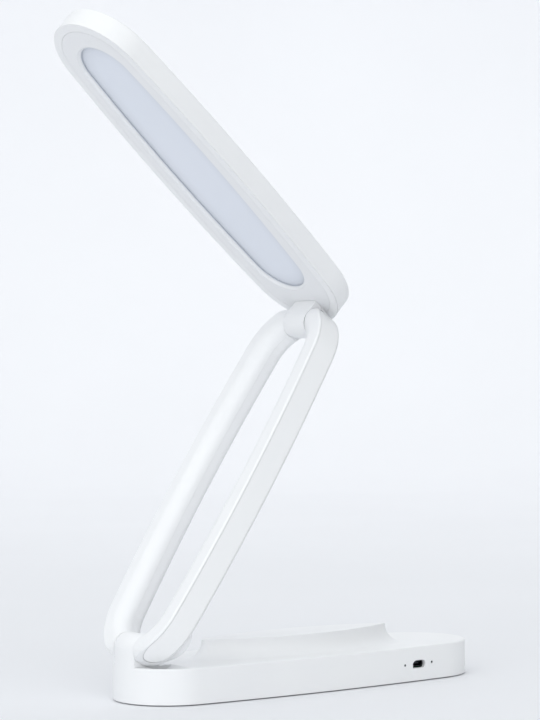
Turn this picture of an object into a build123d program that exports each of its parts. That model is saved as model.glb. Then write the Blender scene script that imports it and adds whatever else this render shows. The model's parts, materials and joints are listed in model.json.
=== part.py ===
from build123d import *
import os
from math import hypot, sqrt, sin, cos, radians

os.makedirs("parts", exist_ok=True)

# ---------------------------------------------------------------- driving dimensions (mm)
OVAL_L = 200.0          # length of the base and of the head
OVAL_W = 62.5           # width of base, arm and head
OVAL_RE = 28.0          # radius of the rounded ends (the sides are long shallow arcs)
FOOT_H = 0.55           # how far the rubber pad stands below the base shell

BASE_H = 16.8           # base shell, bottom edge to flat top
EDGE_R = 0.8            # softened edges of base and head
WALL = 2.2              # wall of the base shell
TOP_T = 2.2             # ceiling of the base shell
COVER_T = 2.4           # bottom cover
PAD_IN = 7.0            # rubber pad, inwards from the outline

AXIS_IN = 8.0           # hinge axis, inwards from the end of the base
AXIS_UP = 7.95          # hinge axis above the base top
LUG_HW = 8.5            # half width of the hinge lugs
LUG_R = 7.2             # rounding of a lug about its axis
KNUCKLE_R = 7.2         # rounding of the arm ends about the axes
SLOT_NEAR, SLOT_FAR = 8.9, 8.65     # slots in the arm ends, near and far wall
PIN_R = 2.0             # hinge pins
BUSH_R = 3.2            # hinge bushes
PIN_RUN = 0.05          # running clearance, radial

ARM_T = 14.4            # thickness of the arm ring
ARM_BAND = 12.9         # width of the ring's band
ARM_BEYOND = 8.3        # ring beyond each axis
AXES = 182.2            # distance between the two hinge axes
ARM_BEVEL = 1.2         # rounding along the outer wall of the ring
ARM_INNER_LOW = 4.0     # rounding of the open middle's wall on the underside; the upper side is a half round
STRIP_HW = 5.85         # half width of the inlaid side strips
STRIP_T = 1.3           # their thickness
SEAM = 0.15             # open seam round the strips
STRIP_X0, STRIP_X1 = 0.7, 0.3       # strip ends' centres, beyond the lower and the upper axis
HEEL_R, HEEL_S, HEEL_M = 12.3, 6.5, 2.1    # swollen underside of the arm's lower end

HEAD_T = 11.0           # thickness of the head
HEAD_AXIS_IN = 7.5      # hinge axis, inwards from the end of the head
HEAD_AXIS_DOWN = 8.3    # hinge axis, out from the light face
RIM = 4.5               # rim of the head cover around the bezel
BEZEL_T = 2.2
LIGHT_X0, LIGHT_L, LIGHT_W, LIGHT_RE = 22.6, 163.2, 41.2, 17.85
LIGHT_CH = 1.1          # chamfer round the light opening

ISLAND_X0, ISLAND_X1 = -58.4, 57.5   # tips of the raised lens on the base
ISLAND_HW = 13.65
ISLAND_H = 9.1
ISLAND_COVE = 8.7

ARM_ANGLE = 56.6        # rest pose: arm above the horizontal, degrees
HEAD_ANGLE = 99.45      # rest pose: angle between arm and head, degrees


# ---------------------------------------------------------------- helpers
def oval_face(L=OVAL_L, W=OVAL_W, re=OVAL_RE, z=0.0, cx=0.0):
    b, a = W / 2, L / 2 - re
    R = (a * a + b * b - re * re) / (2 * (b - re))
    yc = R - b
    h = hypot(a, yc)
    tx, ty = R * a / h, -yc + R * yc / h
    pts = lambda x, y: (cx + x, y, z)
    edges = [
        Edge.make_three_point_arc(pts(-tx, ty), pts(0, b), pts(tx, ty)),
        Edge.make_three_point_arc(pts(tx, ty), pts(L / 2, 0), pts(tx, -ty)),
        Edge.make_three_point_arc(pts(tx, -ty), pts(0, -b), pts(-tx, -ty)),
        Edge.make_three_point_arc(pts(-tx, -ty), pts(-L / 2, 0), pts(-tx, ty)),
    ]
    return Face(Wire(edges))


def prism(d, z0, z1, L=OVAL_L, W=OVAL_W, re=OVAL_RE, cx=0.0):
    """Upright oval prism, its outline moved inwards by d."""
    return extrude(oval_face(L - 2 * d, W - 2 * d, re - d, z0, cx), z1 - z0, dir=(0, 0, 1))


def block(x0, x1, y0, y1, z0, z1):
    return Pos((x0 + x1) / 2, (y0 + y1) / 2, (z0 + z1) / 2) * Box(x1 - x0, y1 - y0, z1 - z0)


def ycyl(x, z, r, y0, y1):
    return Pos(x, (y0 + y1) / 2, z) * Rot(90, 0, 0) * Cylinder(r, y1 - y0)


def zcyl(x, y, r, z0, z1):
    return Pos(x, y, (z0 + z1) / 2) * Cylinder(r, z1 - z0)


def edges_at(shape, z, tol=0.02):
    out = []
    for e in shape.edges():
        bb = e.bounding_box()
        if abs(bb.min.Z - z) < tol and abs(bb.max.Z - z) < tol:
            out.append(e)
    return out


def one(shape):
    """The single solid of a result."""
    s = shape.solids()
    s = sorted(s, key=lambda q: -q.volume)
    assert len(s) >= 1
    if len(s) > 1:
        print("   note: extra solids", [round(q.volume, 3) for q in s[1:]])
    return s[0]


NODES = {}


def keep(name, shape):
    NODES[name] = shape


# ---------------------------------------------------------------- base (bottom edge of the shell at z = 0 here)
AX, AZ = -OVAL_L / 2 + AXIS_IN, BASE_H + AXIS_UP
LUG_TOP = AZ + LUG_R

shell = prism(0, 0, BASE_H)
shell = fillet(edges_at(shell, BASE_H), EDGE_R)
shell = fillet(edges_at(shell, 0), 0.2)


def lens_face(x0, x1, hw, z, r0=2.8, r1=1.2, inset=0.0):
    """Lens with rounded tips: two long arcs, a small arc at each tip."""
    hl, cx = (x1 - x0) / 2, (x0 + x1) / 2
    R = (hl * hl + hw * hw) / (2 * hw)
    yc = R - hw
    R -= inset
    # a tip circle of radius r touches both arcs from inside: its centre is at distance R - r from (0, -+yc)
    def tip(r):
        r = max(r - inset, 0.3)
        c = sqrt((R - r) ** 2 - yc ** 2)
        k = R / (R - r)
        return r, c, (c * k, -yc + yc * k)
    rl, cl, (lx, ly) = tip(r0)
    rr, cr, (rx, ry) = tip(r1)
    p = lambda x, y: (cx + x, y, z)
    edges = [
        Edge.make_three_point_arc(p(-lx, ly), p(0, R - yc), p(rx, ry)),
        Edge.make_three_point_arc(p(rx, ry), p(cr + rr, 0), p(rx, -ry)),
        Edge.make_three_point_arc(p(rx, -ry), p(0, -(R - yc)), p(-lx, -ly)),
        Edge.make_three_point_arc(p(-lx, -ly), p(-(cl + rl), 0), p(-lx, ly)),
    ]
    return Face(Wire(edges))


island = extrude(lens_face(ISLAND_X0, ISLAND_X1, ISLAND_HW, BASE_H - 0.5), ISLAND_H + 0.5, dir=(0, 0, 1))
shell = shell + island
inner = [e for e in edges_at(shell, BASE_H)
         if e.bounding_box().max.X < 60 and e.bounding_box().min.X > -62
         and max(abs(e.bounding_box().min.Y), abs(e.bounding_box().max.Y)) < 16]
shell = fillet(inner, ISLAND_COVE)
shell = fillet(edges_at(shell, BASE_H + ISLAND_H), 0.45)

# hinge lug: its outer face goes on from the end wall, its top is rounded about the axis
lug = prism(0, BASE_H - 3, LUG_TOP)
lug = fillet(edges_at(lug, LUG_TOP), LUG_R)
cut = block(-OVAL_L / 2 - 1, AX + LUG_R, -LUG_HW, LUG_HW, BASE_H - 3, LUG_TOP)
cut = fillet([e for e in cut.edges().filter_by(Axis.Y)
              if e.center().Z > LUG_TOP - 0.1 and e.center().X > AX], LUG_R)
lug = one(lug & cut)
side = [e for e in lug.edges() if abs(abs(e.center().Y) - LUG_HW) < 0.05 and e.bounding_box().size.Y < 0.05
        and e.bounding_box().max.Z > BASE_H]
try:
    lug = one(fillet(side, 0.2))
except Exception as err:
    print("lug edges left sharp", err)
shell = shell + lug

# shallow scoops either side of the lug, which clear the arm's swollen heel when the arm is folded down
scoop = ycyl(AX + HEEL_S, AZ + HEEL_M, HEEL_R + 0.4, -40, 40) & prism(1.05, BASE_H - 4, BASE_H + 1)
scoop = scoop - block(-101, -60, -LUG_HW, LUG_HW, 0, 40)
shell = shell - scoop

# inside: low under the scoops, full height beyond them, raised under the lens
shell = shell - prism(WALL, -1, 11.6)
shell = shell - (prism(WALL, 11, BASE_H - TOP_T) & block(-70, 100, -40, 40, 0, 30))
shell = shell - extrude(lens_face(ISLAND_X0, ISLAND_X1, ISLAND_HW, BASE_H - TOP_T - 0.5, inset=2.4),
                        ISLAND_H, dir=(0, 0, 1))
shell = shell - ycyl(AX, AZ, BUSH_R, -LUG_HW - 1, LUG_HW + 1)
for s in (-1, 1):       # seats for the friction washers
    shell = shell - ycyl(AX, AZ, 5.0, *sorted((s * (LUG_HW - 0.8), s * (LUG_HW + 1))))
# wire way from the base up into the lug, behind the bush
shell = shell - block(AX - 1.2, AX + 1.2, -1.6, 1.6, 11, AZ - BUSH_R - 1.0)

Z1 = 0.2 + COVER_T      # inner face of the bottom cover
BOSSES = [(-60, 20), (-60, -20), (67, 20), (67, -20)]
for x, y in BOSSES:
    shell = shell + zcyl(x, y, 3.0, Z1, BASE_H - TOP_T + 0.2)
    shell = shell - zcyl(x, y, 1.0, Z1 - 1, 11.5)

# charging socket and the two indicator holes in the near wall
PORT_X, PORT_Z = 54.4, 8.1
HOLES = ((45.1, 8.15), (62.9, 8.4))
pz = [(-4.05, -1.85), (2.9, -1.85), (3.55, -1.55), (3.95, -0.95), (4.1, -0.2), (4.0, 0.6), (3.6, 1.35), (2.9, 1.8), (2.2, 1.9),
      (-1.9, 1.9), (-3.1, 1.5), (-4.05, 0.5)]
pw = Wire(Polyline(*[(PORT_X + x, -40, PORT_Z + z) for x, z in pz], close=True).edges())
port_cut = extrude(Face(pw), 20, dir=(0, 1, 0))
shell = shell - (port_cut & block(0, 100, -40, -24, 0, 20))
for x, z in HOLES:
    shell = shell - ycyl(x, z, 0.65, -40, -24)
try:
    rim = [e for e in shell.edges() if e.bounding_box().min.X > PORT_X - 4.8 and e.bounding_box().max.X < PORT_X + 4.8
           and e.bounding_box().min.Z > PORT_Z - 2.3 and e.bounding_box().max.Z < PORT_Z + 2.3
           and e.bounding_box().max.Y < -27.9 and e.bounding_box().size.Y < 0.6]
    shell = chamfer(rim, 0.2)
except Exception as err:
    print("port edge left sharp", err)
shell = one(shell)
keep("base_top_shell", shell)

cover = prism(WALL + 0.1, 0.2, Z1) - prism(PAD_IN - 0.1, 0, 0.7)
for x, y in BOSSES:
    cover = cover - zcyl(x, y, 1.15, 0, 4) - zcyl(x, y, 2.3, 0, 1.7)
keep("base_bottom_cover", one(cover))

# one soft pad, glued in the cover's shallow recess over the screws
pad = prism(PAD_IN, -FOOT_H, 0.7)
pad = fillet(edges_at(pad, -FOOT_H), 0.35)
keep("rubber_base_pad", one(pad))

screws = []
for x, y in BOSSES:
    s = zcyl(x, y, 2.1, 0.75, 1.7) + zcyl(x, y, 1.0, 1.6, 10.6)
    s = s - block(x - 1.4, x + 1.4, y - 0.3, y + 0.3, 0, 1.2) - block(x - 0.3, x + 0.3, y - 1.4, y + 1.4, 0, 1.2)
    screws.append(one(s))
keep("base_screws", Compound(children=screws))

plate = block(-52, 22, -17, 17, Z1, Z1 + 3.0)
plate = plate + block(-86, -52, -13, 13, Z1, Z1 + 3.0)
keep("ballast_plate", one(plate))
batt = block(-50, 8, -16, 16, Z1 + 3.0, Z1 + 11.0)
batt = fillet(batt.edges().filter_by(Axis.X), 1.6)
keep("battery", one(batt))
pcb = block(26, 80, -23.5, 14, 5.0, 6.2)
pcb = pcb - zcyl(67, -20, 3.4, 0, 20)
for x, y in ((30, 10), (76, 10), (30, -14)):
    pcb = pcb - zcyl(x, y, 1.2, 0, 20)
pcb = one(pcb & prism(WALL + 0.4, 0, 20))
keep("main_pcb", pcb)
posts = []
for x, y in ((30, 10), (76, 10), (30, -14)):
    p_ = zcyl(x, y, 1.2, Z1, 6.8) + zcyl(x, y, 2.2, Z1, 5.0)
    posts.append(p_)
keep("pcb_standoffs", Compound(children=[one(p) for p in posts]))

# charging socket: a folded metal shell with its tongue, soldered on the board, its mouth just behind the wall opening
SY = -26.9
sock = block(PORT_X - 3.75, PORT_X + 3.75, SY, SY + 5.6, 6.7, 9.5)
sock = chamfer([e for e in sock.edges().filter_by(Axis.Y) if e.center().Z < 7], 1.0)
mouth = block(PORT_X - 3.4, PORT_X + 3.4, SY - 0.1, SY + 4.6, 7.05, 9.15)
mouth = chamfer([e for e in mouth.edges().filter_by(Axis.Y) if e.center().Z < 8], 0.9)
sock = sock - mouth
sock = sock + block(PORT_X - 1.9, PORT_X + 1.9, SY + 0.8, SY + 5.0, 8.1, 8.65)
sock = sock + block(PORT_X - 3.2, PORT_X + 3.2, SY + 4.7, SY + 5.6, 6.2, 6.9)
keep("micro_usb_socket", one(sock))

pipes = []
for x, z in HOLES:
    y_out = -(sqrt(829.6 ** 2 - x ** 2) - (829.6 - OVAL_W / 2))
    p_ = ycyl(x, z, 0.62, y_out + 0.35, -24.2)
    p_ = p_ + ycyl(x, z, 1.1, y_out + WALL + 0.35, -24.2)
    pipes.append(one(p_))
keep("charge_indicator_light_pipes", Compound(children=pipes))

ZC = BASE_H - TOP_T - 0.5 + ISLAND_H      # ceiling under the lens
pad = zcyl(0, 0, 7.5, ZC - 0.5, ZC)
keep("touch_sensor_pad", one(pad))


def bush(x, z):
    return one(ycyl(x, z, BUSH_R, -LUG_HW + 0.8, LUG_HW - 0.8) - ycyl(x, z, PIN_R + PIN_RUN, -20, 20))


def washers(x, z, near=-1):
    out = []
    for s in (-1, 1):
        w = ycyl(x, z, 4.7, *sorted((s * (LUG_HW - 0.8), s * ((SLOT_NEAR if s == near else SLOT_FAR) - 0.06))))
        out.append(one(w - ycyl(x, z, PIN_R + PIN_RUN, -20, 20)))
    return Compound(children=out)


keep("lower_hinge_bush", bush(AX, AZ))
keep("lower_friction_washers", washers(AX, AZ))

BASE = [n for n in NODES]

# ---------------------------------------------------------------- arm (own frame: x along the arm from the lower axis, z across it)
AL, AW, ARE, ACX = AXES + 2 * ARM_BEYOND, OVAL_W, OVAL_RE, AXES / 2
HT = ARM_T / 2


def aprism(d, z0, z1):
    return prism(d, z0, z1, AL, AW, ARE, ACX)


ring = aprism(0, -HT, HT)
ring = fillet(edges_at(ring, HT) + edges_at(ring, -HT), ARM_BEVEL)
# ends rounded about the hinge axes
stad = block(0, AXES, -40, 40, -HT, HT) + ycyl(0, 0, KNUCKLE_R, -40, 40) + ycyl(AXES, 0, KNUCKLE_R, -40, 40)
ring = ring & stad
# the open middle, its wall rounded like a tube
band = aprism(0, -HT, HT) - aprism(ARM_BAND, -HT - 1, HT + 1)


def inner_edges(z):
    return [e for e in edges_at(band, z)
            if max(abs(e.bounding_box().min.Y), abs(e.bounding_box().max.Y)) < AW / 2 - ARM_BAND + 0.3
            and e.bounding_box().min.X > -ARM_BEYOND + 8 and e.bounding_box().max.X < AXES + ARM_BEYOND - 8]


band = fillet(inner_edges(-HT), ARM_INNER_LOW)
band = fillet(inner_edges(HT), HT - 0.12)
ring = ring & band
# heel: the lower end's underside swells about a cross axis
heel = ycyl(HEEL_S, HEEL_M, HEEL_R, -40, 40) & block(-20, 40, -40, 40, -20, 0)
heel = heel & (aprism(1.25, -20, 0) - aprism(7.0, -21, 1))
heel = heel & (block(-20, 40, -40, -SLOT_NEAR, -20, 0) + block(-20, 40, SLOT_FAR, 40, -20, 0))
ring = ring + heel
# slots for the lugs
ring = ring - block(-20, 9.5, -SLOT_NEAR, SLOT_FAR, -20, 20)
ring = ring - block(AXES - 9.5, AXES + 20, -SLOT_NEAR, SLOT_FAR, -20, 20)


def strip_solid(sign, grow, depth):
    """Inlay in the outer wall of one leg, a stadium seen from the side."""
    hw = STRIP_HW + grow
    x0, x1 = STRIP_X0, AXES + STRIP_X1
    st = block(x0, x1, -40, 40, -hw, hw) + ycyl(x0, 0, hw, -40, 40) + ycyl(x1, 0, hw, -40, 40)
    skin = aprism(-1 if grow else 0, -HT, HT) - aprism(depth, -HT - 1, HT + 1)
    side_ = block(-30, AXES + 30, *sorted((sign * 9.5, sign * 45)), -HT, HT)
    return (skin & st) & side_


for sign in (-1, 1):
    ring = ring - strip_solid(sign, SEAM, STRIP_T)
# inner channel that carries the wire, both legs, and stiffening left at the ends
chan = (aprism(3.4, -4.2, 4.2) - aprism(9.4, -5, 5)) & block(16, AXES - 16, -40, 40, -5, 5)
ring = ring - chan
# bores for the pins, with seats for the pin head (near side) and the nut (far side)
for x in (0, AXES):
    ring = ring - ycyl(x, 0, PIN_R, -20, 20)
    ring = ring - ycyl(x, 0, 3.15, -40, -12.2)
    hx = Pos(x, 21.2, 0) * Rot(90, 0, 0) * extrude(RegularPolygon(3.1, 6), 10, both=True)
    ring = ring - (hx & block(x - 9, x + 9, 11.2, 30, -9, 9))
# the lugs' slots part the ring into two legs; each leg is two shells that meet on the mid-plane
ARM = {}
for side_name, y0, y1 in (("near", -50, 0), ("far", 0, 50)):
    ARM[side_name + "_leg_upper_shell"] = one(ring & block(-30, AXES + 30, y0, y1, 0, 30))
    ARM[side_name + "_leg_lower_shell"] = one(ring & block(-30, AXES + 30, y0, y1, -30, 0))
ARM["near_leg_side_strip"] = one(strip_solid(-1, 0, STRIP_T))
ARM["far_leg_side_strip"] = one(strip_solid(1, 0, STRIP_T))


def pin(x):
    p = ycyl(x, 0, PIN_R, -12.4, 13.6) + ycyl(x, 0, 3.0, -13.7, -12.2)
    p = p - block(x - 2.2, x + 2.2, -14, -13.1, -0.4, 0.4)
    return one(p)


def nut(x):
    h = Pos(x, 12.35, 0) * Rot(90, 0, 0) * extrude(RegularPolygon(3.05, 6), 1.15, both=True)
    return one(h - ycyl(x, 0, PIN_R, 0, 20))


ARM["lower_hinge_pin"] = pin(0)
ARM["lower_hinge_nut"] = nut(0)
ARM["upper_hinge_pin"] = pin(AXES)
ARM["upper_hinge_nut"] = nut(AXES)
# wire in the near leg's channel: one long arc, parallel to the leg
RS = ((AL / 2 - ARE) ** 2 + (AW / 2) ** 2 - ARE ** 2) / (2 * (AW / 2 - ARE))
rw = RS - 6.4
cyw = RS - AW / 2
hx_ = 64.0
ya = -(sqrt(rw ** 2 - hx_ ** 2) - cyw)
arc = Edge.make_three_point_arc((ACX - hx_, ya, 0), (ACX, -(rw - cyw), 0), (ACX + hx_, ya, 0))
prof = Plane(origin=arc @ 0, z_dir=arc % 0) * Circle(0.9)
ARM["arm_wire"] = one(sweep(prof, path=arc))

# ---------------------------------------------------------------- head (own frame: x from the hinge end, z = 0 light face, z = HEAD_T back)
HX, HZ = HEAD_AXIS_IN, -HEAD_AXIS_DOWN


def hprism(d, z0, z1):
    return prism(d, z0, z1, cx=OVAL_L / 2)


def light_prism(d, z0, z1):
    return prism(d, z0, z1, LIGHT_L, LIGHT_W, LIGHT_RE, LIGHT_X0 + LIGHT_L / 2)


hc = hprism(0, 0, HEAD_T)
hc = fillet(edges_at(hc, HEAD_T), EDGE_R)
hc = fillet(edges_at(hc, 0), 0.25)
HLT = HZ - LUG_R
hl = hprism(0, HLT, 3)
hl = fillet(edges_at(hl, HLT), LUG_R)
hcut = block(-1, HX + LUG_R, -LUG_HW, LUG_HW, HLT, 3)
hcut = fillet([e for e in hcut.edges().filter_by(Axis.Y)
               if e.center().Z < HLT + 0.1 and e.center().X > HX], LUG_R)
hl = one(hl & hcut)
side = [e for e in hl.edges() if abs(abs(e.center().Y) - LUG_HW) < 0.05 and e.bounding_box().size.Y < 0.05
        and e.bounding_box().min.Z < 0]
try:
    hl = one(fillet(side, 0.2))
except Exception as err:
    print("head lug edges left sharp", err)
hc = hc + hl
cav = hprism(RIM, -1, HEAD_T - 2.0)
cav = cav - block(-1, HX + LUG_R + 0.2, -LUG_HW - 0.2, LUG_HW + 0.2, -5, HEAD_T)
hc = hc - cav
hc = hc - ycyl(HX, HZ, BUSH_R, -LUG_HW - 1, LUG_HW + 1)
for s in (-1, 1):
    hc = hc - ycyl(HX, HZ, 5.0, *sorted((s * (LUG_HW - 0.8), s * (LUG_HW + 1))))
hc = hc - block(HX - 1.2, HX + 1.2, -1.6, 1.6, HZ + BUSH_R + 1.0, HEAD_T - 3.0)
hc = hc - block(HX - 1.2, HX + LUG_R + 2, -1.6, 1.6, HEAD_T - 6.0, HEAD_T - 3.0)
HBOSS = [(45, 0), (104, 0), (165, 0)]
for x, y in HBOSS:
    hc = hc + zcyl(x, y, 2.6, 8.4, HEAD_T - 1.9)
    hc = hc - zcyl(x, y, 0.9, 7.0, HEAD_T - 0.9)
HEAD = {}
HEAD["head_top_cover"] = one(hc)

bez = hprism(RIM + 0.09, 0, BEZEL_T)
bez = bez - block(-1, HX + LUG_R + 0.35, -LUG_HW - 0.35, LUG_HW + 0.35, -1, 5)
bez = bez - light_prism(LIGHT_CH, -1, BEZEL_T + 1)
taper = loft([light_face for light_face in (oval_face(LIGHT_L, LIGHT_W, LIGHT_RE, 0.0, LIGHT_X0 + LIGHT_L / 2),
                                            oval_face(LIGHT_L - 2 * LIGHT_CH, LIGHT_W - 2 * LIGHT_CH, LIGHT_RE - LIGHT_CH,
                                                      LIGHT_CH, LIGHT_X0 + LIGHT_L / 2))])
bez = bez - taper
HEAD["head_bezel"] = one(bez)
HEAD["diffuser"] = one(light_prism(-1.2, BEZEL_T, BEZEL_T + 1.6))
# white wall standing on the back of the bezel, which holds the diffuser and boxes the light in
frame_ = light_prism(-2.6, BEZEL_T, 7.6) - light_prism(-1.3, BEZEL_T - 1, BEZEL_T + 1.7) - light_prism(0.6, 0, 9)
HEAD["reflector_frame"] = one(frame_)
board = light_prism(-2.6, 7.6, 8.4)
for x, y in HBOSS:
    board = board - zcyl(x, y, 0.9, 5, 12)
HEAD["led_board"] = one(board)
leds = []
for i in range(14):
    for y in (-9.0, 9.0):
        x = LIGHT_X0 + LIGHT_L / 2 + (i - 6.5) * 11.0
        leds.append(block(x - 1.75, x + 1.75, y - 1.4, y + 1.4, 6.8, 7.6))
HEAD["leds"] = Compound(children=leds)
hs = []
for x, y in HBOSS:
    hs.append(one(zcyl(x, y, 1.8, 6.4, 7.6) + zcyl(x, y, 0.9, 7.5, HEAD_T - 1.0)))
HEAD["led_board_screws"] = Compound(children=hs)
HEAD["upper_hinge_bush"] = bush(HX, HZ)
HEAD["upper_friction_washers"] = washers(HX, HZ, near=1)     # the head's own frame has its y reversed

# ---------------------------------------------------------------- rest pose
base_loc = Pos(0, 0, FOOT_H)
a_loc = Pos(AX, 0, AZ + FOOT_H) * Rot(0, -ARM_ANGLE, 0)
bx = AX + AXES * cos(radians(ARM_ANGLE))
bz = AZ + FOOT_H + AXES * sin(radians(ARM_ANGLE))
th = radians(ARM_ANGLE + 180 - HEAD_ANGLE)
ex, ez = cos(th), sin(th)
nx, nz = ez, -ex
ox, oz = bx - HEAD_AXIS_IN * ex + HEAD_AXIS_DOWN * nx, bz - HEAD_AXIS_IN * ez + HEAD_AXIS_DOWN * nz
h_loc = Plane(origin=(ox, 0, oz), x_dir=(ex, 0, ez), z_dir=(nx, 0, nz)).location
print("lower axis", round(AX, 4), round(AZ + FOOT_H, 4), "upper axis", round(bx, 4), round(bz, 4))
print("head origin", round(ox, 4), round(oz, 4), "e", round(ex, 5), round(ez, 5), "n", round(nx, 5), round(nz, 5))


def place(loc, shape):
    if isinstance(shape, Compound):
        return Compound(children=[loc * s for s in shape.solids()])
    return loc * shape


for n in list(NODES):
    NODES[n] = place(base_loc, NODES[n])
for n, s in ARM.items():
    NODES[n] = place(a_loc, s)
for n, s in HEAD.items():
    NODES[n] = place(h_loc, s)

for name, shape in NODES.items():
    shape.label = name
    export_step(shape, os.path.join("parts", name + ".step"))
print(len(NODES), "nodes written")
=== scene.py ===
import json
import math

import bmesh
import bpy
from mathutils import Matrix, Vector


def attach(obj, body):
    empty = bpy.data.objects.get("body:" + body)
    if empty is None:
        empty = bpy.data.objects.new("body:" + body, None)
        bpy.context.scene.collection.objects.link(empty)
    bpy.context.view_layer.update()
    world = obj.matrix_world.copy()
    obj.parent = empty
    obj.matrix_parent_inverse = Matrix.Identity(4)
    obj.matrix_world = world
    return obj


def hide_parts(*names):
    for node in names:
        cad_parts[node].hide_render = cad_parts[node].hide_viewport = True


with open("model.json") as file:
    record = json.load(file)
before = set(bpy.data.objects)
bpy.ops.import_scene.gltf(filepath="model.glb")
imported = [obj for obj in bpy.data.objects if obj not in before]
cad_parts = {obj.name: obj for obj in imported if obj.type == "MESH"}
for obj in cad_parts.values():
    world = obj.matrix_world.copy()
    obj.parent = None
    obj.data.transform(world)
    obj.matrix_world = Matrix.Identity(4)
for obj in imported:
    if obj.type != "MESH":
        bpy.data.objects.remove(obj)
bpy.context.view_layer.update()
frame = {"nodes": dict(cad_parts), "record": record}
scene = bpy.context.scene


# ---------------------------------------------------------------- node helpers
def srgb(r, g, b):
    """8-bit display colour to linear."""
    f = lambda v: v / 12.92 if v <= 0.04045 else ((v + 0.055) / 1.055) ** 2.4
    return (f(r / 255), f(g / 255), f(b / 255), 1.0)


def new_material(name):
    m = bpy.data.materials.new(name)
    m.use_nodes = True
    nt = m.node_tree
    nt.nodes.clear()
    out = nt.nodes.new("ShaderNodeOutputMaterial")
    bsdf = nt.nodes.new("ShaderNodeBsdfPrincipled")
    nt.links.new(bsdf.outputs[0], out.inputs[0])
    return m, nt, bsdf


def noise(nt, scale, detail=3.0, rough=0.5, stretch=(1, 1, 1)):
    tc = nt.nodes.new("ShaderNodeTexCoord")
    mp = nt.nodes.new("ShaderNodeMapping")
    mp.inputs["Scale"].default_value = stretch
    n = nt.nodes.new("ShaderNodeTexNoise")
    n.inputs["Scale"].default_value = scale
    n.inputs["Detail"].default_value = detail
    n.inputs["Roughness"].default_value = rough
    nt.links.new(tc.outputs["Object"], mp.inputs[0])
    nt.links.new(mp.outputs[0], n.inputs["Vector"])
    return n


def ramp(nt, src, stops, interp="LINEAR"):
    r = nt.nodes.new("ShaderNodeValToRGB")
    r.color_ramp.interpolation = interp
    el = r.color_ramp.elements
    while len(el) < len(stops):
        el.new(0.5)
    for e, (p, c) in zip(el, stops):
        e.position = p
        e.color = c if len(c) == 4 else (*c, 1.0)
    nt.links.new(src, r.inputs[0])
    return r


def grey(v):
    return (v, v, v, 1.0)


def bump(nt, bsdf, src, strength, distance, chain=None):
    b = nt.nodes.new("ShaderNodeBump")
    b.inputs["Strength"].default_value = strength
    b.inputs["Distance"].default_value = distance
    nt.links.new(src, b.inputs["Height"])
    if chain is not None:
        nt.links.new(chain.outputs[0], b.inputs["Normal"])
    nt.links.new(b.outputs[0], bsdf.inputs["Normal"])
    return b


def plastic(name, lo, hi, rough=(0.30, 0.40), ior=1.48, grain=0.02, coat=0.0, edge=0.0, corner_shade=0.0, shade_reach=0.03):
    """Moulded plastic: faint cloudy colour change from the melt's flow, fine spark-eroded grain, slightly uneven gloss;
    if asked, painted shade in corners and gaps.
    """
    m, nt, b = new_material(name)
    cloud = noise(nt, 14.0, 3.0, 0.55, (1, 1, 1))
    c = ramp(nt, cloud.outputs["Fac"], [(0.3, lo), (0.7, hi)])
    if corner_shade:               # painted shade: the base colour is darkened in corners and gaps, where shade falls
        ao = nt.nodes.new("ShaderNodeAmbientOcclusion")
        ao.samples = 8
        ao.only_local = True
        ao.inputs["Distance"].default_value = shade_reach
        shade = ramp(nt, ao.outputs["AO"], [(0.15, grey(1.0 - corner_shade)), (0.85, grey(1.0))])
        mul = nt.nodes.new("ShaderNodeMix")
        mul.data_type = "RGBA"
        mul.blend_type = "MULTIPLY"
        mul.inputs[0].default_value = 1.0
        nt.links.new(c.outputs[0], mul.inputs[6])
        nt.links.new(shade.outputs[0], mul.inputs[7])
        nt.links.new(mul.outputs[2], b.inputs["Base Color"])
    else:
        nt.links.new(c.outputs[0], b.inputs["Base Color"])
    fine = noise(nt, 1600.0, 2.0, 0.6)
    mid = noise(nt, 90.0, 3.0, 0.5)
    r = ramp(nt, mid.outputs["Fac"], [(0.3, grey(rough[0])), (0.7, grey(rough[1]))])
    nt.links.new(r.outputs[0], b.inputs["Roughness"])
    b.inputs["IOR"].default_value = ior
    if coat:
        b.inputs["Coat Weight"].default_value = coat
        b.inputs["Coat Roughness"].default_value = 0.12
    start = None
    if edge:                 # moulded edges are never knife-sharp
        start = nt.nodes.new("ShaderNodeBevel")
        start.samples = 4
        start.inputs["Radius"].default_value = edge
    w = bump(nt, b, mid.outputs["Fac"], 0.10, 0.00004, start)
    bump(nt, b, fine.outputs["Fac"], grain, 0.00003, w)
    return m


def metal(name, lo, hi, rough=(0.25, 0.4), stretch=(1, 1, 1), scale=300.0, metallic=1.0):
    m, nt, b = new_material(name)
    n = noise(nt, scale, 4.0, 0.6, stretch)
    c = ramp(nt, n.outputs["Fac"], [(0.3, lo), (0.7, hi)])
    nt.links.new(c.outputs[0], b.inputs["Base Color"])
    r = ramp(nt, n.outputs["Fac"], [(0.3, grey(rough[0])), (0.7, grey(rough[1]))])
    nt.links.new(r.outputs[0], b.inputs["Roughness"])
    b.inputs["Metallic"].default_value = metallic
    bump(nt, b, n.outputs["Fac"], 0.08, 0.00005)
    return m


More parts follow.
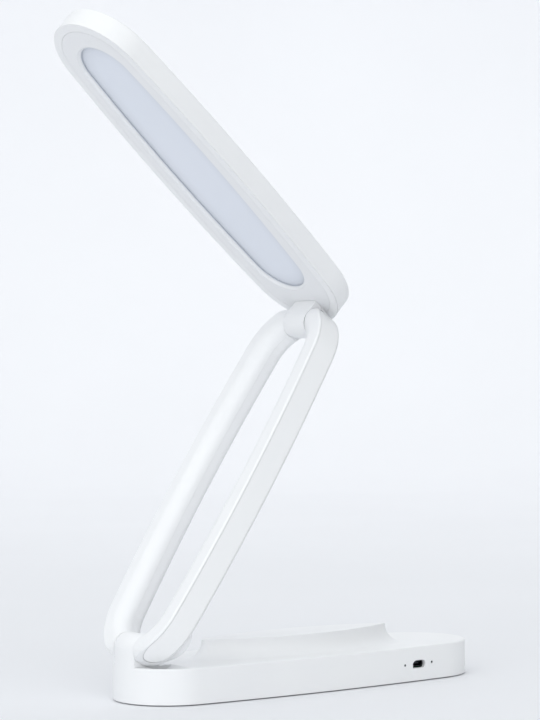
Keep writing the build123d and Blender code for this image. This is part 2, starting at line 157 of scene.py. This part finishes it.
# ---------------------------------------------------------------- materials
W_LO, W_HI = srgb(238, 239, 241), srgb(241, 242, 243)
M = {
    # corner_shade on the base and the head paints shade into their corners and gaps
    "base": plastic("white_base", W_LO, W_HI, (0.30, 0.38), edge=0.0003, corner_shade=0.20),
    "arm": plastic("white_arm", W_LO, W_HI, (0.34, 0.42), edge=0.0003),
    "strip": plastic("white_strip", srgb(246, 247, 248), srgb(247, 248, 249), (0.30, 0.32), edge=0.0002),
    "head": plastic("white_head", W_LO, W_HI, (0.32, 0.40), edge=0.0003, corner_shade=0.08),
    # a little darker than the head's white: painted shade for the bezel's downward face
    "bezel": plastic("white_bezel_shaded", srgb(234, 235, 237), srgb(237, 238, 240), (0.32, 0.40), edge=0.0002),
    "cover": plastic("white_cover_textured", srgb(226, 227, 229), srgb(231, 232, 234), (0.5, 0.6), grain=0.25),
    "reflector": plastic("reflector_white", srgb(244, 244, 244), srgb(247, 247, 247), (0.5, 0.6)),
    "bush": plastic("acetal_natural", srgb(236, 234, 226), srgb(240, 238, 231), (0.35, 0.45)),
    # dark silicone pad, its tone taken darker so that it also paints the shade in the narrow gap under the base
    "pad": plastic("silicone_dark_gap_shade", srgb(44, 45, 48), srgb(52, 53, 56), (0.6, 0.75), ior=1.42, grain=0.3),
    "wire": plastic("wire_insulation", srgb(150, 20, 18), srgb(168, 28, 24), (0.4, 0.5)),
    "pipe": plastic("light_pipe_smoked", srgb(46, 48, 54), srgb(58, 60, 66), (0.15, 0.22)),
    "steel": metal("steel_zinc_plated", srgb(176, 178, 182), srgb(196, 198, 202)),
    "ballast": metal("ballast_blackened", srgb(64, 64, 68), srgb(84, 84, 88), (0.45, 0.6), scale=60.0),
    "foil": metal("battery_foil", srgb(186, 188, 194), srgb(206, 208, 214), (0.3, 0.45), scale=120.0),
    # socket shell darker than its metal: painted shade inside the port
    "socket": metal("socket_shell_port_shade", srgb(58, 60, 64), srgb(76, 78, 82), (0.25, 0.35), scale=500.0),
    "copper": metal("touch_copper", srgb(196, 128, 92), srgb(214, 146, 108), (0.3, 0.4), scale=200.0),
    "pcb": plastic("solder_mask_green", srgb(14, 84, 44), srgb(20, 100, 54), (0.25, 0.35)),
    "pcb_white": plastic("solder_mask_white", srgb(236, 237, 238), srgb(242, 243, 244), (0.3, 0.4)),
    # painted shade: grey lining for the opening's wall, darker than the white bezel it covers
    "opening_shade": plastic("painted_shade_grey", srgb(196, 201, 210), srgb(201, 206, 214), (0.6, 0.7)),
    "led": plastic("led_phosphor", srgb(240, 214, 112), srgb(246, 224, 132), (0.3, 0.4)),
}


def diffuser_material():
    """Milky acrylic, with painted shade near the rim, where the opening's wall shades the plate; a very fine matt grain
    on its face.
    """
    m, nt, b = new_material("diffuser_milky")
    cloud = noise(nt, 9.0, 2.0, 0.5)
    c = ramp(nt, cloud.outputs["Fac"], [(0.3, srgb(226, 231, 240)), (0.7, srgb(229, 233, 242))])
    at = nt.nodes.new("ShaderNodeAttribute")
    at.attribute_type = "GEOMETRY"
    at.attribute_name = "rim_shade_depth"
    # painted shade: the plate is darkened near its rim
    rim_shade = ramp(nt, at.outputs["Fac"], [(0.0, grey(0.74)), (0.12, grey(0.87)), (0.35, grey(0.95)), (0.8, grey(1.0))])
    mix = nt.nodes.new("ShaderNodeMix")
    mix.data_type = "RGBA"
    mix.blend_type = "MULTIPLY"
    mix.inputs[0].default_value = 1.0
    nt.links.new(c.outputs[0], mix.inputs[6])
    nt.links.new(rim_shade.outputs[0], mix.inputs[7])
    nt.links.new(mix.outputs[2], b.inputs["Base Color"])
    mid = noise(nt, 120.0, 2.0, 0.5)
    r = ramp(nt, mid.outputs["Fac"], [(0.3, grey(0.42)), (0.7, grey(0.5))])
    nt.links.new(r.outputs[0], b.inputs["Roughness"])
    b.inputs["IOR"].default_value = 1.49
    fine = noise(nt, 2600.0, 2.0, 0.6)
    bump(nt, b, fine.outputs["Fac"], 0.05, 0.00002)
    return m


M["diffuser"] = diffuser_material()

NODE_MATERIAL = {
    "base_top_shell": "base", "base_bottom_cover": "cover", "rubber_base_pad": "pad", "base_screws": "steel",
    "ballast_plate": "ballast", "battery": "foil", "main_pcb": "pcb", "pcb_standoffs": "bush",
    "micro_usb_socket": "socket", "charge_indicator_light_pipes": "pipe", "touch_sensor_pad": "copper",
    "lower_hinge_bush": "bush", "lower_friction_washers": "steel",
    "near_leg_upper_shell": "arm", "near_leg_lower_shell": "arm", "far_leg_upper_shell": "arm", "far_leg_lower_shell": "arm",
    "near_leg_side_strip": "strip", "far_leg_side_strip": "strip", "arm_wire": "wire",
    "lower_hinge_pin": "steel", "lower_hinge_nut": "steel", "upper_hinge_pin": "steel", "upper_hinge_nut": "steel",
    "head_top_cover": "head", "head_bezel": "bezel", "diffuser": "diffuser", "reflector_frame": "reflector",
    "led_board": "pcb_white", "leds": "led", "led_board_screws": "steel",
    "upper_hinge_bush": "bush", "upper_friction_washers": "steel",
}
for node, key in NODE_MATERIAL.items():
    o = frame["nodes"][node]
    for s in o.material_slots:
        s.material = M[key]

# ---------------------------------------------------------------- skins: the CAD shapes with clean normals
BODY_OF = {n: b for b, ns in frame["record"]["behaviour"]["bodies"].items() for n in ns}


ARM_A = math.radians(56.6)
# where each body's oval wall stands: a point on its middle line, its direction, its upright, its length
WALL_OF = {
    "base": (Vector((0, 0, 0)), Vector((1, 0, 0)), Vector((0, 0, 1)), 0.2000),
    "arm": (Vector((-0.0920 + 0.0911 * math.cos(ARM_A), 0, 0.0253 + 0.0911 * math.sin(ARM_A))),
            Vector((math.cos(ARM_A), 0, math.sin(ARM_A))), Vector((-math.sin(ARM_A), 0, math.cos(ARM_A))), 0.1988),
    "head": (Vector((0.0194408 - 0.073314, 0, 0.1783937 + 0.068008)), Vector((-0.73314, 0, 0.68008)),
             Vector((0.68008, 0, 0.73314)), 0.2000),
}


def wall_normals(o, wall, crisp=False):
    """Settles the weighted normals, and gives the tall oval walls the exact normal of their arcs, so that no facet shows."""
    c, ex, ez, length = wall
    b, re = 0.03125, 0.028
    a = length / 2 - re
    R = (a * a + b * b - re * re) / (2 * (b - re))
    yc = R - b
    me = o.data
    ev = o.evaluated_get(bpy.context.evaluated_depsgraph_get())
    m2 = ev.to_mesh()
    normals = [Vector(n.vector) for n in m2.corner_normals]
    ev.to_mesh_clear()
    o.modifiers.clear()
    exact = []
    for v in me.vertices:
        q = v.co - c
        x, y = q.dot(ex), v.co.y
        if a * (abs(y) + yc) - yc * abs(x) < 0:
            n2 = Vector((math.copysign(abs(x) - a, x), y))
            dist = n2.length - re
        else:
            n2 = Vector((x, math.copysign(abs(y) + yc, y)))
            dist = n2.length - R
        n2.normalize()
        exact.append((ex * n2.x + Vector((0, n2.y, 0)), abs(dist) < 0.00006))
    for p in me.polygons:
        if abs(p.normal.dot(ez)) < 0.06 and all(exact[v][1] for v in p.vertices):
            for li in p.loop_indices:
                normals[li] = exact[me.loops[li].vertex_index][0]
        elif crisp and -0.9999 < p.normal.dot(ez) < -0.02 and all(
                -0.0001 < (me.vertices[v].co - c).dot(ez) < 0.0004 for v in p.vertices):
            flat = p.normal.dot(ez) < -0.6
            for li in p.loop_indices:
                normals[li] = -ez if flat else exact[me.loops[li].vertex_index][0]
    me.normals_split_custom_set(normals)


def skin(node, key, split=27.0):
    """A copy of a CAD node's mesh, welded, its flat faces merged and its normals weighted by area, so that
    flat stays flat and every rounding runs smoothly into it."""
    me = frame["nodes"][node].data.copy()
    me.name = node + "_skin"
    for a in ("custom_normal", "sharp_face", "sharp_edge"):
        if a in me.attributes:
            me.attributes.remove(me.attributes[a])
    bm = bmesh.new()
    bm.from_mesh(me)
    bmesh.ops.remove_doubles(bm, verts=bm.verts, dist=2e-6)
    bmesh.ops.dissolve_degenerate(bm, dist=1e-6, edges=bm.edges)
    bmesh.ops.dissolve_limit(bm, angle_limit=math.radians(0.15), verts=bm.verts, edges=bm.edges)
    bmesh.ops.triangulate(bm, faces=[f for f in bm.faces if len(f.verts) > 4], quad_method="BEAUTY", ngon_method="BEAUTY")
    for f in bm.faces:
        f.smooth = True
    lim = math.radians(split)
    for e in bm.edges:
        e.smooth = len(e.link_faces) == 2 and e.calc_face_angle(0.0) < lim
    bm.to_mesh(me)
    bm.free()
    me.materials.clear()
    me.materials.append(M[key])
    o = bpy.data.objects.new(node + "_skin", me)
    scene.collection.objects.link(o)
    w = o.modifiers.new("even_normals", "WEIGHTED_NORMAL")
    w.mode = "FACE_AREA_WITH_ANGLE"
    w.weight = 60
    w.keep_sharp = True
    wall_normals(o, WALL_OF[BODY_OF[node]], crisp=node == "head_top_cover")
    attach(o, BODY_OF[node])
    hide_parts(node)
    return o


for node in ("base_top_shell", "near_leg_upper_shell", "near_leg_lower_shell", "far_leg_upper_shell", "far_leg_lower_shell",
             "near_leg_side_strip", "far_leg_side_strip", "head_top_cover", "head_bezel"):
    skin(node, NODE_MATERIAL[node])



def shim(name, y0, y1, radius, centre, body, key, count=96):
    """Thin moulded disc that stands in a hinge's gap, so that the gap is a shallow groove; in a dark material it is
    painted shade in the gap.
    """
    rings = []
    for y, r in ((y0, 0.0022), (y0, radius), (y1, radius), (y1, 0.0022)):
        rings.append([centre + Vector((r * math.cos(2 * math.pi * k / count), y, r * math.sin(2 * math.pi * k / count)))
                      for k in range(count)])
    verts, faces = [], []
    for ring in rings:
        verts += [tuple(q) for q in ring]
    for i in range(4):
        j = (i + 1) % 4
        for k in range(count):
            faces.append((i * count + k, i * count + (k + 1) % count, j * count + (k + 1) % count, j * count + k))
    me = bpy.data.meshes.new(name)
    me.from_pydata(verts, [], faces)
    bm = bmesh.new()
    bm.from_mesh(me)
    bmesh.ops.recalc_face_normals(bm, faces=bm.faces)
    bm.to_mesh(me)
    bm.free()
    me.materials.append(M[key])
    o = bpy.data.objects.new(name, me)
    scene.collection.objects.link(o)
    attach(o, body)
    return o


UPPER_AXIS = Vector((0.0082976, 0.0, 0.1774093))
shim("upper_hinge_far_shim", 0.00852, 0.00863, 0.0071, UPPER_AXIS, "head", "head")
# dark disc in the near gap: painted shade, so that the gap reads as a dark line
shim("upper_hinge_near_shade_disc", -0.00886, -0.00854, 0.0071, UPPER_AXIS, "head", "ballast")

# ---------------------------------------------------------------- the lamp's light opening, in the head's own frame
HEAD_O, HEAD_E, HEAD_N = Vector((0.0194408, 0.0, 0.1783937)), Vector((-0.73314, 0, 0.68008)), Vector((0.68008, 0, 0.73314))
LIGHT_CX, LIGHT_L, LIGHT_W, LIGHT_RE = 0.1042, 0.1632, 0.0412, 0.01785
LIGHT_CH, BEZEL_T = 0.0011, 0.0022


def head_point(x, y, z):
    return HEAD_O + HEAD_E * x + Vector((0, 1, 0)) * y + HEAD_N * z


def oval_ring(inset, count=240):
    """Points of the opening's outline, moved inwards: two long arcs and two end arcs."""
    b, a, re = LIGHT_W / 2, LIGHT_L / 2 - LIGHT_RE, LIGHT_RE
    R = (a * a + b * b - re * re) / (2 * (b - re))
    yc = R - b
    half = math.asin(a / (R - re))            # half angle of a long arc
    end = math.pi / 2 - half                  # half angle of an end arc
    q = count // 4
    pts = []
    for k in range(q):                         # long arc, +y side, from -x to +x
        t = -half + 2 * half * k / q
        pts.append(((R - inset) * math.sin(t), -yc + (R - inset) * math.cos(t)))
    for k in range(q):                         # end arc, +x side
        t = end - 2 * end * k / q
        pts.append((a + (re - inset) * math.cos(t), (re - inset) * math.sin(t)))
    for k in range(q):
        t = half - 2 * half * k / q
        pts.append(((R - inset) * math.sin(t), yc - (R - inset) * math.cos(t)))
    for k in range(q):
        t = math.pi + end - 2 * end * k / q
        pts.append((-a + (re - inset) * math.cos(t), (re - inset) * math.sin(t)))
    return [(LIGHT_CX + x, y) for x, y in pts]


def rings_mesh(name, rings, cap=False, closed=False, values=None):
    """Quads between rings of equal length; the last ring is filled from its middle if asked."""
    verts, faces = [], []
    n = len(rings[0])
    for r in rings:
        verts += [tuple(p) for p in r]
    m = len(rings)
    for i in range(m if closed else m - 1):
        j = (i + 1) % m
        for k in range(n):
            faces.append((i * n + k, i * n + (k + 1) % n, j * n + (k + 1) % n, j * n + k))
    if cap:
        faces.append(tuple((m - 1) * n + k for k in range(n)))
    me = bpy.data.meshes.new(name)
    me.from_pydata(verts, [], faces)
    me.update()
    bm = bmesh.new()
    bm.from_mesh(me)
    bmesh.ops.recalc_face_normals(bm, faces=bm.faces)
    bm.to_mesh(me)
    bm.free()
    for p in me.polygons:
        p.use_smooth = True
    if values is not None:
        # distance from the edge, the mask for the diffuser's painted rim shade
        at = me.attributes.new("rim_shade_depth", "FLOAT", "POINT")
        at.data.foreach_set("value", [v for v in values for _ in range(n)])
    o = bpy.data.objects.new(name, me)
    scene.collection.objects.link(o)
    return o


def diffuser_piece():
    """Milky plate behind the opening. Each ring's distance from the edge is stored, as the mask for the painted shade
    near its rim.
    """
    insets = [-0.0012, 0.0, LIGHT_CH, LIGHT_CH + 0.0004, 0.0018, 0.0025, 0.0034, 0.0045, 0.006, 0.008, 0.011, 0.0145, 0.017]
    rings = [[head_point(x, y, BEZEL_T + 0.0016) for x, y in oval_ring(insets[0])]]
    rim_shade_depths = [0.0]
    for d in insets:
        rings.append([head_point(x, y, BEZEL_T) for x, y in oval_ring(d)])
        rim_shade_depths.append(max(0.0, d - LIGHT_CH) / 0.010)
    o = rings_mesh("diffuser_plate", rings, cap=True, values=rim_shade_depths)
    o.data.materials.append(M["diffuser"])
    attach(o, "head")
    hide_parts("diffuser")
    return o


def shade_lining_piece():
    """Thin grey lining on the upright wall of the opening, down to the plate: a sheet of painted shade on the wall."""
    z0, z1, t = BEZEL_T - 0.00065, BEZEL_T - 0.00002, 0.00005
    a, b = oval_ring(LIGHT_CH + 0.00001), oval_ring(LIGHT_CH + t)
    rings = [[head_point(x, y, z0) for x, y in a], [head_point(x, y, z0) for x, y in b],
             [head_point(x, y, z1) for x, y in b], [head_point(x, y, z1) for x, y in a]]
    o = rings_mesh("opening_shade_lining", rings, closed=True)
    o.data.materials.append(M["opening_shade"])
    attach(o, "head")
    return o


diffuser_piece()
shade_lining_piece()

# ---------------------------------------------------------------- studio: pale sweep, soft light
FWD = Vector((0.5810, 0.8139, 0)).normalized()
SIDE = Vector((FWD.y, -FWD.x, 0))


def sweep():
    """Floor that curves up into a backdrop, square to the camera's view."""
    prof = []
    front, back, height, r = -40.0, 2.6, 3.2, 0.9
    prof.append((front, 0.0))
    prof.append((back - r, 0.0))
    for i in range(1, 25):
        a = math.pi / 2 * i / 24
        prof.append((back - r + r * math.sin(a), r - r * math.cos(a)))
    prof.append((back, height))
    verts, faces = [], []
    for d, z in prof:
        for s in (-40.0, 40.0):
            p = FWD * d + SIDE * s
            verts.append((p.x, p.y, z))
    for i in range(len(prof) - 1):
        a = 2 * i
        faces.append((a, a + 1, a + 3, a + 2))
    me = bpy.data.meshes.new("studio_sweep")
    me.from_pydata(verts, [], faces)
    me.update()
    for p in me.polygons:
        p.use_smooth = True
    o = bpy.data.objects.new("studio_sweep", me)
    scene.collection.objects.link(o)
    m, nt, b = new_material("studio_paper")
    n = noise(nt, 3.0, 3.0, 0.5)
    c = ramp(nt, n.outputs["Fac"], [(0.3, srgb(234, 235, 238)), (0.7, srgb(236, 237, 240))])
    nt.links.new(c.outputs[0], b.inputs["Base Color"])
    b.inputs["Roughness"].default_value = 0.6
    b.inputs["IOR"].default_value = 1.35
    me.materials.append(m)
    return o


sweep()

world = bpy.data.worlds.new("studio_world")
scene.world = world
world.use_nodes = True
bg = world.node_tree.nodes["Background"]


def world_light(front, up, horizon, right):
    """Light from the viewer's side and from above, with a pale band at the horizon and a dimmer right-hand side."""
    nt = world.node_tree
    tc = nt.nodes.new("ShaderNodeTexCoord")

    def math_node(op, a, b=None):
        n = nt.nodes.new("ShaderNodeMath")
        n.operation = op
        for k, v in enumerate((a, b)):
            if v is None:
                continue
            if isinstance(v, (int, float)):
                n.inputs[k].default_value = v
            else:
                nt.links.new(v, n.inputs[k])
        return n.outputs[0]

    def along(v):
        d = nt.nodes.new("ShaderNodeVectorMath")
        d.operation = "DOT_PRODUCT"
        d.inputs[1].default_value = tuple(v)
        nt.links.new(tc.outputs["Generated"], d.inputs[0])
        return d.outputs["Value"]

    f = math_node("MULTIPLY", math_node("MAXIMUM", along(-FWD), 0.0), front)
    z = along(Vector((0, 0, 1)))
    u = math_node("MULTIPLY", math_node("MAXIMUM", z, 0.0), up)
    h = math_node("MULTIPLY", math_node("ABSOLUTE", z), 6.0)
    h = math_node("MULTIPLY", math_node("MAXIMUM", math_node("SUBTRACT", 1.0, h), 0.0), horizon)
    r = math_node("MULTIPLY", math_node("MAXIMUM", along(SIDE), 0.0), right)
    total = math_node("SUBTRACT", math_node("ADD", math_node("ADD", f, u), h), r)
    nt.links.new(math_node("MAXIMUM", total, 0.02), bg.inputs[1])


bg.inputs[0].default_value = (0.965, 0.99, 1.005, 1.0)
world_light(0.92, 1.17, 0.20, 0.60)


def area(name, side, ahead, up, size, power, color=(1, 1, 1), size_y=None, target=(0, 0, 0.12)):
    """Soft box placed from the lamp: to the view's right, away from the viewer, and up, in metres."""
    l = bpy.data.lights.new(name, "AREA")
    l.shape = "RECTANGLE"
    l.size = size
    l.size_y = size_y or size
    l.energy = power
    l.color = color
    o = bpy.data.objects.new(name, l)
    scene.collection.objects.link(o)
    o.location = SIDE * side + FWD * ahead + Vector((0, 0, up))
    d = Vector(target) - o.location
    o.rotation_euler = d.to_track_quat("-Z", "Y").to_euler()
    return o


area("softbox_front", 0.3, -1.8, 0.8, 1.2, 4.8, (1.0, 0.98, 0.95))
area("softbox_front_left", -1.1, -1.1, 0.5, 1.0, 1.7, (1.0, 0.985, 0.96))
area("softbox_back", 0.0, 1.5, 1.9, 1.6, 5.8, (1.0, 0.97, 0.96), target=tuple(FWD * 2.6 + Vector((0, 0, 0.9))))

# ---------------------------------------------------------------- camera: the photograph's view
cam = bpy.data.cameras.new("camera")
cam.sensor_fit = "VERTICAL"
cam.sensor_height = 24.0
cam.lens = 79.045
cam.clip_start = 0.01
co = bpy.data.objects.new("camera", cam)
scene.collection.objects.link(co)
right = Vector((0.8139, -0.5810, -0.01065)).normalized()
back = -Vector((0.5810, 0.8139, 0.0003)).normalized()
up = back.cross(right).normalized()
right = up.cross(back).normalized()
rot = Matrix((right, up, back)).transposed().to_4x4()
co.matrix_world = Matrix.Translation(Vector((-0.68479, -0.94081, 0.15920))) @ rot
scene.camera = co

scene.view_settings.view_transform = "Standard"
scene.view_settings.look = "None"
scene.view_settings.exposure = 0.0
scene.view_settings.gamma = 1.0
